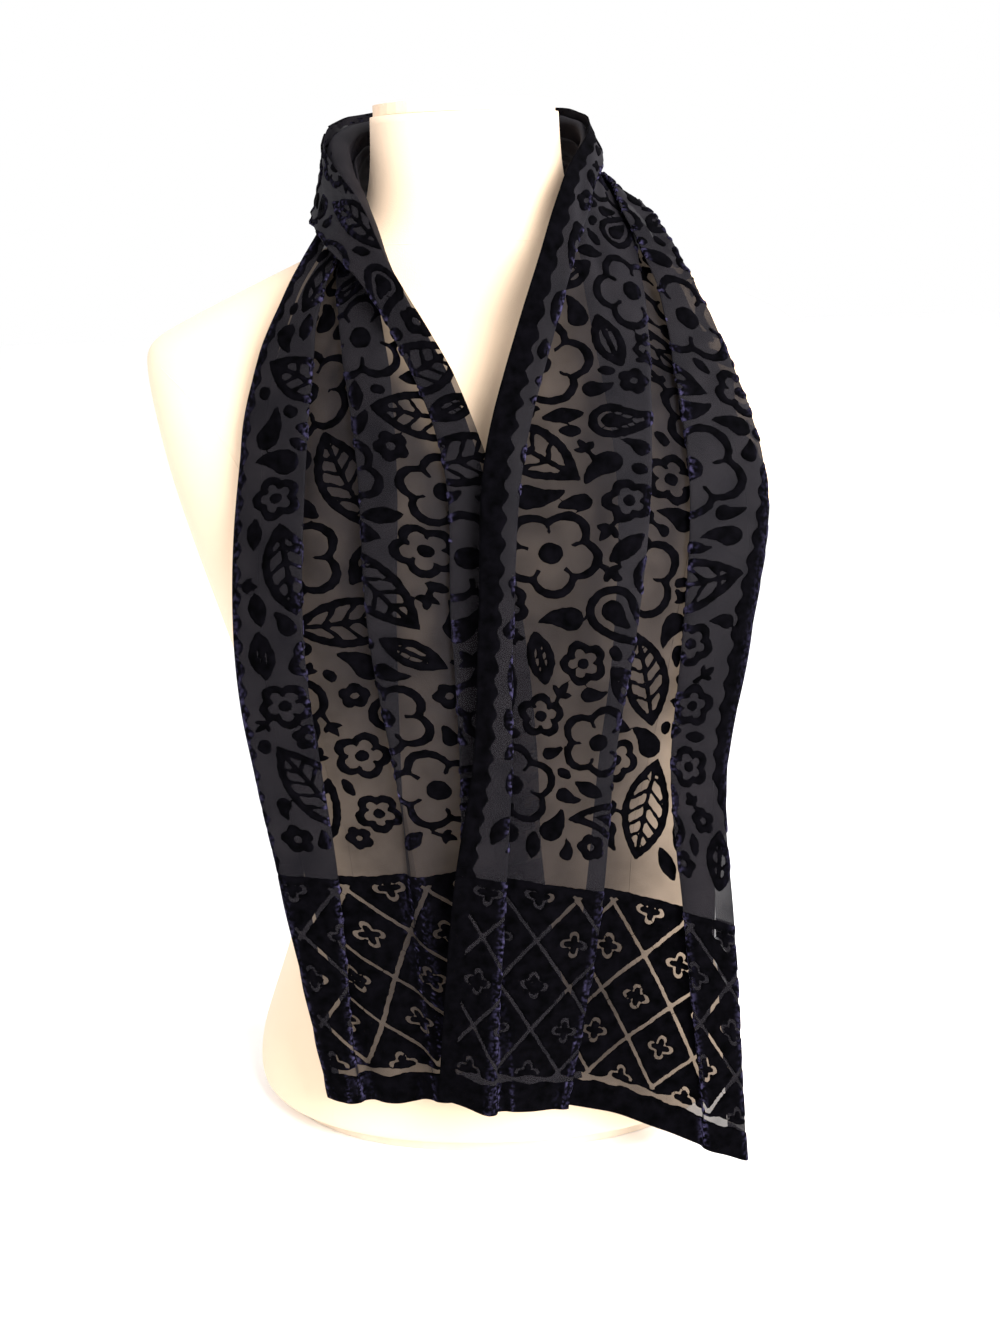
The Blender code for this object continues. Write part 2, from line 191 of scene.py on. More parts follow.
# %% [markdown]
# The form is covered in cream jersey pulled smooth, which is matt and warm. The base is a board painted
# much the same cream, with less of a bump and a little more gloss.

# %% The form's finishes
jersey = cloth_finish(
    "cream jersey", (0.82, 0.61, 0.43), (0.87, 0.66, 0.48), roughness=0.85,
    loops=1400, patch=9, bump=0.00015, sheen=0.15,
)
board = cloth_finish(
    "painted board", (0.72, 0.60, 0.47), (0.78, 0.66, 0.53), roughness=0.6,
    loops=300, patch=30, bump=0.00005,
)
for node, finish in (("form_torso", jersey), ("form_neck_cap", jersey), ("form_base_board", board)):
    nodes[node].data.materials.clear()
    nodes[node].data.materials.append(finish)
print("finishes", jersey.name, "and", board.name)

# %% [markdown]
# The form's solid has flat facets, and soft light would show each one as a band. Its loose triangles
# are joined in a copy, turned back into four-sided faces and subdivided, which rounds the facets away.
# The two flat ends have their rims creased first, so that they still meet the neck's cap and the board.

# %% The form's smooth skin
MERGE = 0.00002  # points nearer than this are one
FLAT_PAIR = math.radians(60)  # triangles that meet flatter than this become one face
RIM = math.radians(60)  # edges sharper than this are the rims of the flat ends
SMOOTH = math.radians(50)  # faces that meet flatter than this are shaded as one
ROUNDINGS = 2  # how often each face is split

skin = bpy.data.objects.new("form_skin", nodes["form_torso"].data.copy())
bpy.context.scene.collection.objects.link(skin)
bpy.ops.object.select_all(action="DESELECT")
bpy.context.view_layer.objects.active = skin
skin.select_set(True)
bpy.ops.object.mode_set(mode="EDIT")
bpy.ops.mesh.select_all(action="SELECT")
bpy.ops.mesh.remove_doubles(threshold=MERGE)
bpy.ops.mesh.tris_convert_to_quads(face_threshold=FLAT_PAIR, shape_threshold=FLAT_PAIR)
bpy.ops.mesh.select_all(action="DESELECT")
bpy.ops.mesh.select_mode(type="EDGE")
bpy.ops.mesh.edges_select_sharp(sharpness=RIM)
bpy.ops.transform.edge_crease(value=1.0)
bpy.ops.object.mode_set(mode="OBJECT")
rounder = skin.modifiers.new("round the facets", "SUBSURF")
rounder.levels = rounder.render_levels = ROUNDINGS
bpy.ops.object.modifier_apply(modifier=rounder.name)
bpy.ops.object.shade_smooth_by_angle(angle=SMOOTH)
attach(skin, "root")
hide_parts("form_torso")
print("form skin", len(skin.data.polygons), "faces")

# %% [markdown]
# The jersey is sewn in panels. A seam could be a groove in a bump map, but then it is lost from the
# side, so each one is a thin welt that lies on the skin: a line of points is dropped onto it and given
# a round section.

# %% A helper for new pieces
def place_piece(name, mesh, finish):
    """An object for a mesh, with its finish, that rides on the form."""
    mesh.materials.clear()
    mesh.materials.append(finish)
    piece = bpy.data.objects.new(name, mesh)
    bpy.context.scene.collection.objects.link(piece)
    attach(piece, "root")
    return piece


# %% Helpers for the seams
WELT = 0.0005  # radius of a seam's welt
WELT_SUNK = 0.0003  # how far its middle lies under the surface
OUTSIDE = 0.5  # well outside the form
torso = BVHTree.FromObject(skin, bpy.context.evaluated_depsgraph_get())


def front_point(x, z, back=False):
    """The point of the torso straight in from the front, or from the back."""
    side = 1 if back else -1
    hit, normal, _, _ = torso.ray_cast(Vector((x, side * OUTSIDE, z)), Vector((0, -side, 0)))
    return None if hit is None else hit - normal * WELT_SUNK


def make_welt(name, points, closed=False):
    """A thin round welt along some points, as a mesh."""
    line = bpy.data.curves.new(name, "CURVE")
    line.dimensions = "3D"
    line.bevel_depth = WELT
    line.bevel_resolution = 1
    spline = line.splines.new("POLY")
    spline.points.add(len(points) - 1)
    for point, knot in zip(points, spline.points):
        knot.co = (*point, 1)
    spline.use_cyclic_u = closed
    line.use_fill_caps = not closed
    holder = bpy.data.objects.new(name, line)
    bpy.context.scene.collection.objects.link(holder)
    mesh = bpy.data.meshes.new_from_object(holder.evaluated_get(bpy.context.evaluated_depsgraph_get()))
    bpy.data.objects.remove(holder)
    return place_piece(name, mesh, jersey)


# %% [markdown]
# A panel seam runs from each shoulder's end over the chest down to the rim, and the same behind. The
# table gives its distance from the middle at some heights, and the skin gives its depth.

# %% The panel seams
SEAM_POINTS = 120
PRINCESS_SEAM = [
    # height, distance from the middle of the form
    (0.4957, 0.180), (0.4855, 0.167), (0.474, 0.155), (0.458, 0.1425), (0.442, 0.133),
    (0.400, 0.120), (0.350, 0.110), (0.300, 0.102), (0.220, 0.088), (0.150, 0.084),
    (0.090, 0.095), (0.045, 0.105), (0.022, 0.108),
]
seam_z = np.linspace(PRINCESS_SEAM[0][0], PRINCESS_SEAM[-1][0], SEAM_POINTS)
heights = [row[0] for row in PRINCESS_SEAM][::-1]
reaches = [row[1] for row in PRINCESS_SEAM][::-1]
for side, word in ((-1, "left"), (1, "right")):
    for back, place_word in ((False, "front"), (True, "back")):
        line = [front_point(side * np.interp(z, heights, reaches), z, back) for z in seam_z]
        make_welt(f"seam_{word}_{place_word}", [p for p in line if p is not None])
print("panel seams from", seam_z[0], "down to", seam_z[-1], "m")

# %% [markdown]
# One more seam goes round the root of the neck. It is level, so its points are found by going straight
# in from all round.

# %% The neck seam
NECK_SEAM = 0.560  # its height
NECK_POINTS = 96
OUTSIDE_NECK = 0.4  # well outside the neck
ring = []
for turn in np.linspace(0, 2 * math.pi, NECK_POINTS, endpoint=False):
    way = Vector((math.cos(turn), math.sin(turn), 0))
    hit, normal, _, _ = torso.ray_cast(Vector((0, 0, NECK_SEAM)) + way * OUTSIDE_NECK, -way)
    ring.append(hit - normal * WELT_SUNK)
make_welt("seam_neck", ring, closed=True)
print("neck seam at", NECK_SEAM, "m")

# %% [markdown]
# The cloth's shape comes from the same sizes as its solids. A simulation would have to find these pleats
# by chance, so they are set out as a presser would set them, and softened afterwards. First come the
# stations: where the two edges of the pleated scarf lie, how far it bows out and how far its middle hangs.

# %% Where the scarf runs
WIDTH, LENGTH = 0.27, 1.414  # of the cloth laid flat, in metres
STATIONS = [
    # along, inner edge x y z, outer edge x y z, bow, drop
    ("left end", 0.000, 0.050, -0.125, 0.080, -0.104, -0.128, 0.070, 0.002, 0.008),
    ("left border", 0.151, 0.030, -0.131, 0.228, -0.122, -0.122, 0.220, 0.004, 0.006),
    ("left waist", 0.219, 0.029, -0.131, 0.294, -0.131, -0.115, 0.286, 0.007, 0.004),
    ("left bust", 0.290, 0.024, -0.130, 0.364, -0.135, -0.108, 0.352, 0.012, 0.0),
    ("left chest", 0.373, 0.011, -0.119, 0.443, -0.129, -0.083, 0.430, 0.010, 0.0),
    ("left collar", 0.431, -0.008, -0.100, 0.494, -0.118, -0.068, 0.486, 0.007, 0.0),
    ("left shoulder", 0.487, -0.032, -0.075, 0.540, -0.095, -0.048, 0.530, 0.004, 0.0),
    ("left neck front", 0.532, -0.045, -0.050, 0.577, -0.073, -0.028, 0.560, 0.0, 0.0),
    ("left neck side", 0.580, -0.0590, -0.008, 0.613, -0.0680, 0.008, 0.574, 0.0, 0.0),
    ("left nape", 0.642, -0.042, 0.044, 0.628, -0.050, 0.056, 0.582, 0.0, 0.0),
    ("nape", 0.700, 0.000, 0.0615, 0.630, 0.002, 0.074, 0.584, 0.0, 0.0),
    ("right nape", 0.757, 0.042, 0.044, 0.628, 0.054, 0.058, 0.580, 0.0, 0.0),
    ("right neck side", 0.819, 0.0590, -0.008, 0.613, 0.0830, 0.010, 0.570, 0.0, 0.0),
    ("right neck front", 0.863, 0.045, -0.053, 0.584, 0.100, -0.018, 0.558, 0.0, 0.0),
    ("right shoulder", 0.907, 0.033, -0.077, 0.549, 0.117, -0.042, 0.530, 0.004, 0.0),
    ("right collar", 0.964, 0.017, -0.101, 0.500, 0.143, -0.060, 0.480, 0.008, 0.0),
    ("right chest", 1.022, 0.003, -0.1247, 0.452, 0.158, -0.080, 0.426, 0.012, 0.0),
    ("right bust", 1.113, -0.003, -0.1445, 0.368, 0.148, -0.112, 0.345, 0.012, 0.002),
    ("right waist", 1.188, -0.008, -0.1455, 0.294, 0.134, -0.122, 0.268, 0.008, -0.002),
    ("right border", 1.263, -0.020, -0.1455, 0.226, 0.138, -0.128, 0.182, 0.004, -0.006),
    ("right end", 1.414, -0.036, -0.1455, 0.080, 0.148, -0.134, 0.026, 0.002, -0.008),
]
ALONG = {row[0]: row[1] for row in STATIONS}
print("stations", len(STATIONS), "over", LENGTH, "m")

# %% [markdown]
# The cloth runs across in a zigzag from its inner edge to its outer edge, and each row of the table is
# one fold of it. A fold is given by its share of the pleated width at some of the stations.

# %% How far across each fold lies
FOLD_PLACES = (
    "left end", "left border", "left bust", "left collar", "left shoulder", "left neck front", "nape",
    "right neck front", "right shoulder", "right collar", "right bust", "right border", "right end",
)
FOLDS = [
    ("inner edge", 0.00, 0.00, 0.00, 0.00, 0.00, 0.00, 0.00, 0.00, 0.00, 0.00, 0.00, 0.00, 0.00),
    ("inner pleat front", 0.38, 0.30, 0.24, 0.20, 0.34, 0.95, 0.54, 0.32, 0.22, 0.16, 0.12, 0.18, 0.17),
    ("inner pleat back", 0.05, 0.05, 0.05, 0.03, 0.03, 0.03, 0.03, 0.03, 0.04, 0.03, 0.04, 0.13, 0.19),
    ("middle pleat front", 0.56, 0.49, 0.52, 0.52, 0.60, 0.80, 0.80, 0.80, 0.70, 0.60, 0.54, 0.53, 0.42),
    ("middle pleat back", 0.59, 0.51, 0.42, 0.30, 0.26, 0.24, 0.22, 0.24, 0.30, 0.38, 0.46, 0.46, 0.36),
    ("outer pleat back", 0.84, 0.91, 0.94, 0.94, 0.95, 0.96, 0.97, 0.97, 0.97, 0.97, 0.96, 0.94, 0.84),
    ("outer pleat front", 0.88, 0.76, 0.74, 0.68, 0.65, 0.45, 0.55, 0.66, 0.74, 0.70, 0.71, 0.80, 0.86),
    ("outer turn", 1.00, 1.00, 1.00, 1.00, 1.00, 0.98, 0.97, 0.97, 1.00, 1.00, 0.97, 1.00, 1.00),
    ("outer edge", 0.94, 0.90, 0.90, 0.90, 0.90, 0.87, 0.87, 0.88, 0.86, 0.87, 0.94, 0.93, 0.94),
]
print("folds", len(FOLDS), "at", len(FOLD_PLACES), "places")

# %% [markdown]
# The panels between the folds lie in layers, the lowest against the form. Where the scarf is gathered
# round the neck the layers lie closer and in another order, and at the hems the folds open into waves.

# %% How far forward each fold lies
LAYER_OPEN, LAYER_GATHERED = 0.0030, 0.0024  # from one layer of cloth to the next
LAYERS = [
    # in and out of each fold: open, gathered at the left, gathered at the right
    ("inner edge", 2, 2, 8.6, 8.6, 5, 5),
    ("inner pleat front", 2, 1.15, 8.6, 7.6, 5, 4),
    ("inner pleat back", 0.85, 0, 7.6, 2, 4, 2),
    ("middle pleat front", 2, 1.15, 2, 1, 2, 1),
    ("middle pleat back", 0.85, 0, 1, 0, 1, 0),
    ("outer pleat back", 0, 0.85, 0, 3, 0, 3),
    ("outer pleat front", 1.15, 2, 3, 4, 3, 4),
    ("outer turn", 4, 3, 6.4, 5.2, 6.4, 5.2),
    ("outer edge", 2.4, 2.4, 4.1, 4.1, 4.1, 4.1),
]
FLUTES = [
    # how far each fold stands forward at the left hem and at the right hem
    ("inner edge", 0.000, -0.002), ("inner pleat front", 0.000, 0.012), ("inner pleat back", 0.000, 0.010),
    ("middle pleat front", 0.000, -0.005), ("middle pleat back", 0.000, -0.005),
    ("outer pleat back", -0.002, 0.006), ("outer pleat front", -0.001, 0.007),
    ("outer turn", -0.009, 0.001), ("outer edge", -0.009, 0.001),
]
FLUTE_LENGTH, FLUTE_FADE = 0.30, 1.5  # how far up a hem's wave reaches, and how fast it dies away
GATHERS = [ALONG[n] for n in (
    "left collar", "left shoulder", "left neck side", "right neck side", "right shoulder", "right collar",
)]
print("gathered from", GATHERS[0], "to", GATHERS[-1], "m along")

# %% [markdown]
# Straight lines from one row of a table to the next would leave a kink in the cloth at every station, so
# a cubic runs through the rows. A simple hump makes what bows out between two edges.

# %% Two helpers for curves
def hump(share):
    """A round hump over the shares from 0 to 1: 0 at both ends and 1 midway."""
    return 4 * share * (1 - share)


def smooth_curve(places, values, wanted):
    """Values read from a smooth curve through all the rows of a table."""
    places, values, wanted = np.asarray(places, float), np.asarray(values, float), np.asarray(wanted, float)
    slopes = np.gradient(values, places, axis=0)
    span = np.clip(np.searchsorted(places, wanted, side="right") - 1, 0, len(places) - 2)
    step = places[span + 1] - places[span]
    t = (wanted - places[span]) / step
    shape = (-1,) + (1,) * (values.ndim - 1)
    t, step = t.reshape(shape), step.reshape(shape)
    return (
        values[span] * (2 * t**3 - 3 * t**2 + 1) + slopes[span] * step * (t**3 - 2 * t**2 + t)
        + values[span + 1] * (3 * t**2 - 2 * t**3) + slopes[span + 1] * step * (t**3 - t**2)
    )


# %% [markdown]
# One section runs across the scarf as a zigzag of panels. Its corners are then cut twice, which turns
# each sharp turn into the round one that pressed velvet takes.

# %% The folds at one place
def flare_at(along):
    """How far the waves of the left hem and of the right hem are open here."""
    return np.array([max(0.0, 1 - reach / FLUTE_LENGTH) ** FLUTE_FADE for reach in (along, LENGTH - along)])


def folds_at(along):
    """Each fold at a distance along: how far across, and the heights it joins."""
    places = [ALONG[name] for name in FOLD_PLACES]
    left = np.interp(along, GATHERS, [0, 1, 1, 0, 0, 0])
    right_share = np.interp(along, GATHERS, [0, 0, 0, 1, 1, 0])
    layer = LAYER_OPEN + (LAYER_GATHERED - LAYER_OPEN) * (left + right_share)
    weights = np.array([1 - left - right_share, left, right_share])
    flare = flare_at(along)
    folds = []
    for row, levels, flute in zip(FOLDS, LAYERS, FLUTES):
        across = smooth_curve(places, row[1:], [along])[0]
        stands = np.dot(flare, flute[1:])
        folds.append((
            across,
            np.dot(weights, levels[1::2]) * layer + stands,
            np.dot(weights, levels[2::2]) * layer + stands,
        ))
    return folds


# %% A section across the scarf
FOLD_REACH, HEM_REACH = 0.0022, 0.0024  # how far a fold's round edge stands out, and what an open hem adds
FOLD_SPAN = 2.2  # folds nearer than about this many reaches share what room there is
PANEL_STEPS = (2, 2, 4, 2, 4, 2, 3, 1)  # how many straight steps each panel is made of
CLIMBING_PANEL, CLIMB = 2, 0.08  # it climbs only between the folds beside it, over this share at least
CLIMB_SHY = 2.3  # how many reaches it keeps from its own folds
SWELLING_PANEL, SWELL = 4, (0.004, -0.005)  # how far its middle stands out at the left and at the right hem


def section(along, width):
    """The cloth's line across the scarf, as (distance across, height off the form) pairs."""
    folds = folds_at(along)
    flare = flare_at(along)
    fold_reach = FOLD_REACH + HEM_REACH * flare.sum()
    line = [(folds[0][0] * width, folds[0][2])]
    for k, steps in enumerate(PANEL_STEPS):
        start, end = folds[k][0], folds[k + 1][0]
        shares = np.arange(1, steps + 1) / steps
        across, rises = start + (end - start) * shares, shares
        if k == CLIMBING_PANEL:
            shy = CLIMB_SHY * fold_reach / width
            high = min(folds[k + 2][0], end - shy)
            low = min(max(folds[k - 1][0], start + shy), high - CLIMB)
            across, rises = np.array([low, high, (high + end) / 2, end]), np.array([0.0, 1.0, 1.0, 1.0])
        offs = folds[k][2] + (folds[k + 1][1] - folds[k][2]) * rises
        if k == SWELLING_PANEL:
            offs = offs + np.dot(flare, SWELL) * hump(rises) ** 2
        line += list(zip(across * width, offs))
        if k == len(PANEL_STEPS) - 1:
            break
        way = math.tanh((end - start) * width / (FOLD_SPAN * fold_reach))
        next_way = math.tanh((folds[k + 2][0] - end) * width / (FOLD_SPAN * fold_reach))
        line[-1] = (line[-1][0] - fold_reach * way, line[-1][1])
        line.append((end * width, (folds[k + 1][1] + folds[k + 1][2]) / 2))
        line.append((end * width + fold_reach * next_way, folds[k + 1][2]))
    return np.array(line)


def cut_corners(line):
    """The line with each of its corners cut off, and its two ends kept."""
    near = 0.75 * line[:-1] + 0.25 * line[1:]
    far = 0.25 * line[:-1] + 0.75 * line[1:]
    return np.vstack([line[:1], np.stack([near, far], 1).reshape(-1, 2), line[-1:]])


print("a section has", len(section(LENGTH / 2, WIDTH)), "points before its corners are cut")

# %% [markdown]
# Cloth is never quite flat: long soft troughs run down the falls, and short crinkles cross the gathered
# part. They depend only on the place across and along, so that all layers there move alike and none
# passes through the next. Noise in space would move each layer its own way.

# %% How uneven the cloth is
TROUGH, RIPPLE, CRINKLE = 0.0022, 0.0007, 0.0009  # how deep each kind of waviness is
NECK_CALM = 0.7  # the share of troughs and ripples that the gathers take up
NECK_FADES = [0.37, 0.46, 0.96, 1.06]  # along: the crinkles start, are full, are last full, and end


def unevenness(share, along):
    """How far the cloth stands off its set shape, always outwards."""
    share, along = np.broadcast_arrays(share, along)
    trough = 0.5 + 0.5 * np.sin(2 * np.pi * (2.3 * share + 0.35 * np.sin(5.1 * along + 0.6)) + 1.3)
    ripple = 0.5 + 0.5 * np.sin(2 * np.pi * (5.7 * share - 1.9 * along) + 0.9 * np.sin(23 * along))
    crinkle = 0.5 + 0.5 * np.sin(2 * np.pi * (26 * along + 1.7 * np.sin(4.3 * share + 9 * along)))
    near_neck = np.interp(along, NECK_FADES, [0, 1, 1, 0])
    return (TROUGH * trough + RIPPLE * ripple) * (1 - NECK_CALM * near_neck) + CRINKLE * crinkle * near_neck


# %% [markdown]
# The whole scarf is one sheet of rows and columns. A row is one section, and every row is split at the
# same columns, closer together where the folds turn, so that all faces have four sides.

# %% The sheet's rows and columns
ROW_PITCH, COLUMN_PITCH = 0.006, 0.003  # from row to row, about, and from column to column, at most

rows_along = np.linspace(0, LENGTH, round(LENGTH / ROW_PITCH) + 1)
table = np.array([row[1:] for row in STATIONS], float)
placed = smooth_curve(table[:, 0], table[:, 1:], rows_along)
inner, outer, bow, drop = placed[:, 0:3], placed[:, 3:6], placed[:, 6], placed[:, 7]
widths = np.linalg.norm(outer - inner, axis=1)
lines = np.array([cut_corners(cut_corners(section(a, w))) for a, w in zip(rows_along, widths)])
steps = np.linalg.norm(np.diff(lines, axis=1), axis=2).max(0)
splits = np.ceil(steps / COLUMN_PITCH).astype(int)
columns = np.concatenate([k + np.arange(n) / n for k, n in enumerate(splits)] + [[len(splits)]])
knots = np.arange(lines.shape[1])
lines = np.array([[np.interp(columns, knots, line[:, c]) for c in (0, 1)] for line in lines])
lines = lines.transpose(0, 2, 1)
print("rows", len(lines), "columns", len(columns))

# %% [markdown]
# Each section is then hung between the scarf's two edges. The way off the form is square to the width
# and to the way the scarf runs.

# %% The sheet in space
path = np.gradient((inner + outer) / 2, axis=0)
away = np.cross(path, outer - inner)
away /= np.linalg.norm(away, axis=1, keepdims=True)
share = lines[:, :, 0] / widths[:, None]
off = lines[:, :, 1] + bow[:, None] * hump(share) + unevenness(share, rows_along[:, None])
cloth = inner[:, None] + share[..., None] * (outer - inner)[:, None] + off[..., None] * away[:, None]
cloth[..., 2] -= drop[:, None] * hump(share)
print("sheet from", cloth.min((0, 1)).round(3), "to", cloth.max((0, 1)).round(3))

# %% [markdown]
# Three things are read off the sheet. The way along each row, set to the flat width, says where on the
# flat cut a point lies. The normals say which way the pile stands, and the bends say where a highlight
# is painted on the pile along the folds.

# %% The flat cut, the facing and the bends of the sheet
SOFT_BEND, SHARP_BEND = 160.0, 700.0  # one over a radius: from here the painted highlight starts, and here it is full
SPREADS = 2  # how often the painted highlight spreads to the next columns

run = np.linalg.norm(np.diff(cloth, axis=1), axis=2)
run = np.concatenate([np.zeros((len(cloth), 1)), np.cumsum(run, axis=1)], axis=1)
flat_u = run / run[:, -1:] * WIDTH
normals = np.cross(np.gradient(cloth, axis=0), np.gradient(cloth, axis=1))
normals /= np.maximum(np.linalg.norm(normals, axis=2, keepdims=True), 1e-12)
bend = np.diff(cloth, axis=1)
length = np.linalg.norm(bend, axis=2, keepdims=True)
bend = np.linalg.norm(np.diff(bend / np.maximum(length, 1e-9), axis=1), axis=2)
bend = bend / (0.5 * (length[:, 1:, 0] + length[:, :-1, 0]))
# how strongly a highlight is painted on the pile, by how sharply the sheet bends
fold_highlight = np.clip((bend - SOFT_BEND) / (SHARP_BEND - SOFT_BEND), 0, 1)
fold_highlight = np.pad(fold_highlight, ((0, 0), (1, 1)), mode="edge")
for _ in range(SPREADS):
    fold_highlight[:, 1:-1] = np.maximum(fold_highlight[:, 1:-1], 0.5 * np.maximum(fold_highlight[:, :-2], fold_highlight[:, 2:]))
print("cloth across, least and most", run[:, -1].min().round(3), run[:, -1].max().round(3))
# the share of the sheet where a highlight is painted on the pile
print("pile open over", round(float((fold_highlight > 0).mean()), 3), "of the sheet")

# %% [markdown]
# The pattern is drawn flat, as the cloth is printed before it is cut. At each point of a fine lattice a
# number says how far inside the velvet it is, in millimetres: above zero the pile stays, below zero it
# is burnt away. Motifs are leaves, five-petalled blossoms, paisley drops and sprigs, all common to
# burnout cloth, drawn in strokes about 4 mm wide.

# %% Strokes and leaves
STROKE = 2.05  # half of a drawn stroke, in mm
FAR_OUT = -99.0  # well outside any shape, in mm
PLAIN_LEAF, RIBBED_LEAF = 12, 17  # under the first a leaf is solid, over the second it has ribs, in mm
LEAF_FULL = 0.46  # half of its width, as a share of its size


def outline(body):
    """A stroke along the inside of a shape's edge."""
    return STROKE - np.abs(body - STROKE)


def leaf(x, y, s):
    """A pointed leaf of a given size: its whole body, and what of it is drawn."""
    half = LEAF_FULL * s * (1 - (y / s) ** 2)
    slope = 2 * LEAF_FULL * y / s
    body = (half - np.abs(x)) / np.sqrt(1 + slope**2)
    if s < PLAIN_LEAF:
        return body, body
    vein = np.minimum(1.2 - np.abs(x), 0.80 * s - np.abs(y))
    ribs = 0.95 - np.abs((y - np.abs(x) * 0.8) % 8.5 - 4.25) * 0.78
    drawn = np.maximum(outline(body), np.minimum(vein, body))
    if s > RIBBED_LEAF:
        drawn = np.maximum(drawn, np.minimum(np.minimum(ribs, body), 0.62 * s - np.abs(y)))
    return body, drawn


# %% [markdown]
# A blossom's edge is a circle whose radius swells five times on the way round. A paisley drop has no
# such simple edge, so it is the union of a row of discs that shrink towards its bent tip.

# %% Blossoms and paisley drops
PLAIN_BLOSSOM = 11  # a blossom smaller than this is solid but for its middle, in mm
DROP_WITH_EYE = 14  # a drop larger than this is an outline round an eye, in mm
DISCS = 16  # that a drop is made of


def blossom(x, y, s):
    """A five-petalled blossom: its whole body, and what of it is drawn."""
    r, a = np.hypot(x, y), np.arctan2(y, x)
    body = (s * (0.74 + 0.26 * np.abs(np.cos(2.5 * a)) ** 0.8) - r) * 0.9
    if s < PLAIN_BLOSSOM:
        return body, np.minimum(body, r - 0.26 * s)
    core = 0.24 * s - r
    ray = np.abs(((a * 5 / np.pi + 1) % 2) - 1) * np.pi / 5
    petal = np.minimum(1.0 - (np.pi / 5 - ray) * r, np.minimum(r - 0.42 * s, 0.78 * s - r))
    return body, np.maximum(outline(body), np.maximum(core, petal))


def paisley(x, y, s):
    """A drop with a bent tip, laid down as a row of shrinking discs."""
    body = np.full(x.shape, FAR_OUT)
    for t in np.linspace(0, 1, DISCS):
        cx, cy, r = 0.5 * s * t**2.2 - 0.1 * s, -0.42 * s + 1.25 * s * t, 0.52 * s * (1 - t) ** 0.75
        body = np.maximum(body, r - np.hypot(x - cx, y - cy))
    return body, np.maximum(outline(body), body - 0.30 * s) if s > DROP_WITH_EYE else body


# %% Sprigs and seeds
SPRIG_LEAVES = [(-0.95, 0.75), (0.0, 1.0), (0.95, 0.75)]  # a leaf's turn, and its share of the sprig's size


def sprig(x, y, s):
    """Three small leaves on a short stem."""
    body = np.full(x.shape, FAR_OUT)
    for turn, reach in SPRIG_LEAVES:
        lx, ly = x * math.cos(turn) - y * math.sin(turn), x * math.sin(turn) + y * math.cos(turn)
        half = 0.20 * s * reach * (1 - ((ly - 0.5 * s * reach) / (0.5 * s * reach)) ** 2)
        body = np.maximum(body, (half + 0.4 - np.abs(lx)) * 0.85)
    return body, np.maximum(body, np.minimum(1.1 - np.abs(x), 0.8 * s + np.minimum(y, 0)) - np.maximum(y, 0))


def seed(x, y, s):
    """A small plain oval."""
    body = (s - np.hypot(x, y * 0.72)) * 0.9
    return body, body


# %% [markdown]
# Both long edges have a band of solid velvet with a scalloped inner side. A table for each says how wide
# it is at some stations, and it is left out where the edge is turned under a pleat.

# %% The lattice and the edge bands
PITCH = 1.5  # lattice pitch, in mm
SELVEDGE, OUTER_SELVEDGE, TURNED_UNDER = 10.5, 16.5, -4.0  # beside the neck, away from it, and out of sight
SCALLOP, SCALLOP_LENGTH = 1.2, 13  # in mm
EMPTY = -50.0  # far outside any motif, in mm
count_u, count_v = round(WIDTH * 1000 / PITCH) + 1, round(LENGTH * 1000 / PITCH) + 1
uu, vv = np.meshgrid(np.linspace(0, WIDTH * 1000, count_u), np.linspace(0, LENGTH * 1000, count_v))
from_hem = np.minimum(vv, LENGTH * 1000 - vv)
NEAR_BAND = {"left neck side": TURNED_UNDER, "left nape": SELVEDGE}
FAR_BAND = {
    "right neck side": OUTER_SELVEDGE, "right neck front": TURNED_UNDER, "right collar": TURNED_UNDER,
    "right chest": OUTER_SELVEDGE, "right waist": OUTER_SELVEDGE, "right border": TURNED_UNDER,
}
near_band, far_band = (
    np.interp(vv, [ALONG[name] * 1000 for name in shown], list(shown.values()))
    for shown in (NEAR_BAND, FAR_BAND)
)
into_edge = np.maximum(near_band - uu, far_band - (WIDTH * 1000 - uu))
selvedge = into_edge + SCALLOP * np.sin(vv * 2 * np.pi / SCALLOP_LENGTH)
bodies = np.maximum(EMPTY, selvedge)
ink = bodies.copy()
print("lattice", uu.shape, "of which band", round(float((ink > 0).mean()), 3))

# %% [markdown]
# Motifs could be stamped on a grid, but then rows show. Here large ones are tried first in random
# places, and each is kept only if it stays clear of those before it; smaller ones then fill the gaps.

# %% Lay out the motifs
BORDER, PLAIN = 150.0, 172.0  # where the border ends, and where the small motifs start, from the hem in mm
FAR_EDGE_CLEAR = 6  # no motif's middle is nearer to the far edge than this, in mm
VARIES = (0.85, 1.15)  # the least and the most that a motif's size is multiplied by
LOOKED_AT, MARGIN = 1.15, 4  # how far round a motif the lattice is read: times its size, and mm more
OLD_GAP = 0.4  # the share of the gap that is kept round the motifs already there
dice = np.random.default_rng(41)
SIZES = [
    # motif, size in mm, tries, gap in mm, least distance from the hem
    (blossom, 25, 200, 1.6, PLAIN + 26), (leaf, 29, 600, 1.5, PLAIN + 24),
    (paisley, 22, 900, 1.5, PLAIN + 18), (blossom, 14, 4000, 1.4, PLAIN + 12),
    (leaf, 16, 5000, 1.4, PLAIN + 10), (paisley, 12, 6000, 1.4, PLAIN + 8),
    (blossom, 8.5, 12000, 1.3, PLAIN), (leaf, 10, 14000, 1.3, PLAIN), (paisley, 8, 12000, 1.3, PLAIN),
    (sprig, 8, 10000, 1.3, PLAIN), (leaf, 7, 14000, 1.3, PLAIN), (seed, 3.2, 16000, 1.3, PLAIN),
    (seed, 2.6, 1200, 6.0, BORDER + 9),
]
kept = {}
